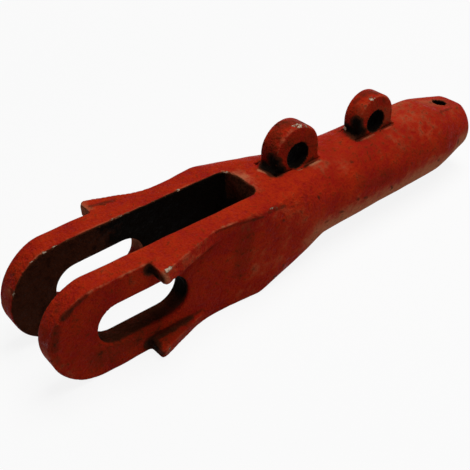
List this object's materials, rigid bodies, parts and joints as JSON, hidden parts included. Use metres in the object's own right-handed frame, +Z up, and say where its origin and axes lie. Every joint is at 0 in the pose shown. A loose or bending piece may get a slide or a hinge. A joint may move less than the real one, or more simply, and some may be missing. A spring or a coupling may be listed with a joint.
{
  "type": "clevis",
  "caption": "Forged red-painted clevis: a deep slotted fork with outward lips, a square block drawn down to a round bored shank, and cross-drilled lugs on top.",
  "frame": {"origin": "on the ground plane under the middle of the part's bounding box", "axes": "+X from the fork tips to the shank end, +Z up through the lugs, +Y across the fork"},
  "size_m": [0.344, 0.0834, 0.0845],
  "materials": {
    "red_paint": "thin worn red paint over an as-forged steel skin, chipped to grey metal on the corners"
  },
  "bodies": {
    "root": {"clevis": "red_paint"}
  },
  "joints": []
}
